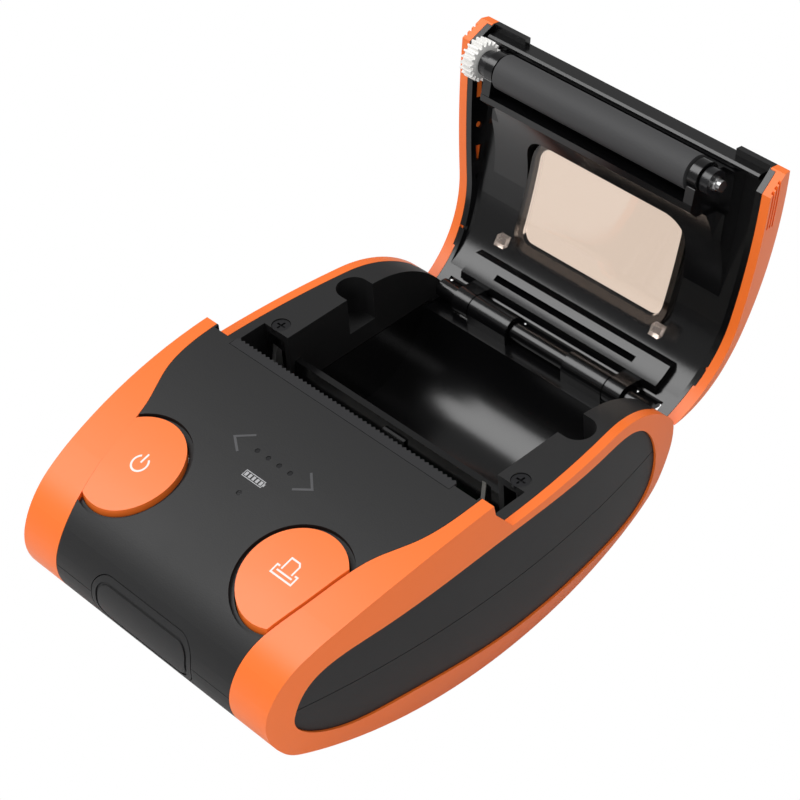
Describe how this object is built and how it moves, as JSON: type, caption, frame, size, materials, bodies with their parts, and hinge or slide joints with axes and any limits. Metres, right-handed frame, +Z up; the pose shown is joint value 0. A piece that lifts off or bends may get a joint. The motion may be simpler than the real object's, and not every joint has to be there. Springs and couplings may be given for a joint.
{
  "type": "portable receipt printer",
  "caption": "Battery-powered handheld printer for narrow receipt paper, with a hinged windowed lid that carries the platen, a paper trough, two deck buttons and a rubber port cover.",
  "frame": {"origin": "centre of the flat base pad", "axes": "+Z up, +Y towards the hinge, +X across the printer, away from the platen gear's side"},
  "size_m": [0.083, 0.134, 0.0758],
  "materials": {
    "case_black": "fine textured satin",
    "bay_black": "semi-gloss moulded",
    "orange": "smooth satin",
    "button_orange": "smooth satin",
    "tear_bar": "satin",
    "light_pipe": "smoked, polished",
    "black_steel": "blackened",
    "steel": "bright",
    "ceramic": "glazed",
    "aluminium": "satin",
    "board": "solder mask",
    "battery_wrap": "shrink film",
    "rubber_black": "matt",
    "brass": "turned",
    "nylon": "natural",
    "window": "smoky brown transparent",
    "window_clip": "clear smoky",
    "bush_black": "polished",
    "platen_rubber": "fine ground"
  },
  "bodies": {
    "case": {"upper_housing": "case_black", "lower_housing": "case_black", "side_ring_left": "orange", "side_ring_right": "orange", "paper_bay": "bay_black", "tear_bar": "tear_bar", "indicator_lights": "light_pipe", "bay_screws": "black_steel", "case_screws": "black_steel", "mechanism_frame": "steel", "thermal_head": "ceramic", "head_heatsink": "aluminium", "head_springs": "steel", "spring_rail": "steel", "stepper_motor": "steel", "main_board": "board", "usb_socket": "steel", "dc_jack": "bay_black", "button_board": "board", "button_switches": "black_steel", "battery_pack": "battery_wrap", "paper_sensor": "bay_black", "hinge_pin": "black_steel"},
    "lid": {"lid_shell": "bay_black", "lid_trim_left": "orange", "lid_trim_right": "orange", "lid_frame": "bay_black", "hinge_plate": "bay_black", "lid_window": "window", "window_clips": "window_clip", "platen_bushings": "bush_black"},
    "platen": {"platen_shaft": "steel", "platen_rubber": "platen_rubber", "platen_gear": "nylon"},
    "power_button": {"power_button": "button_orange"},
    "feed_button": {"feed_button": "button_orange"},
    "port_cover": {"port_cover": "rubber_black"},
    "battery_door": {"battery_door": "case_black"},
    "motor_pinion": {"motor_pinion": "brass"},
    "idler_gear": {"idler_gear": "nylon"},
    "drive_gear": {"drive_gear": "nylon"}
  },
  "joints": [
    {"name": "lid_hinge", "type": "hinge", "parent": "case", "child": "lid", "pos_m": [0, 0.0528, 0.0244], "axis": [1, 0, 0], "range_deg": [0, 100]},
    {"name": "platen_spin", "type": "hinge", "parent": "lid", "child": "platen", "pos_m": [0, 0.06993, 0.07144], "axis": [1, 0, 0], "continuous": true},
    {"name": "power_button_press", "type": "slide", "parent": "case", "child": "power_button", "axis": [0, 0, -1], "range_m": [0, 0.0006], "stiffness_N_per_m": 1500},
    {"name": "feed_button_press", "type": "slide", "parent": "case", "child": "feed_button", "axis": [0, 0, -1], "range_m": [0, 0.0006], "stiffness_N_per_m": 1500},
    {"name": "port_cover_flap", "type": "hinge", "parent": "case", "child": "port_cover", "pos_m": [0, -0.0529, 0.0157], "axis": [1, 0, 0], "range_deg": [0, 90]},
    {"name": "battery_door_swing", "type": "hinge", "parent": "case", "child": "battery_door", "pos_m": [0, 0.01115, 0], "axis": [1, 0, 0], "range_deg": [0, 80]},
    {"name": "drive_gear_spin", "type": "hinge", "parent": "case", "child": "drive_gear", "pos_m": [0, -0.0052, 0.02701], "axis": [1, 0, 0], "continuous": true},
    {"name": "idler_gear_spin", "type": "hinge", "parent": "case", "child": "idler_gear", "pos_m": [0, -0.01428, 0.02371], "axis": [1, 0, 0], "continuous": true},
    {"name": "motor_pinion_spin", "type": "hinge", "parent": "case", "child": "motor_pinion", "pos_m": [0, -0.02024, 0.02476], "axis": [1, 0, 0], "continuous": true}
  ],
  "couplings": [
    {"joint": "idler_gear_spin", "follows": "drive_gear_spin", "ratio": -1.4},
    {"joint": "motor_pinion_spin", "follows": "drive_gear_spin", "ratio": 2.8}
  ]
}
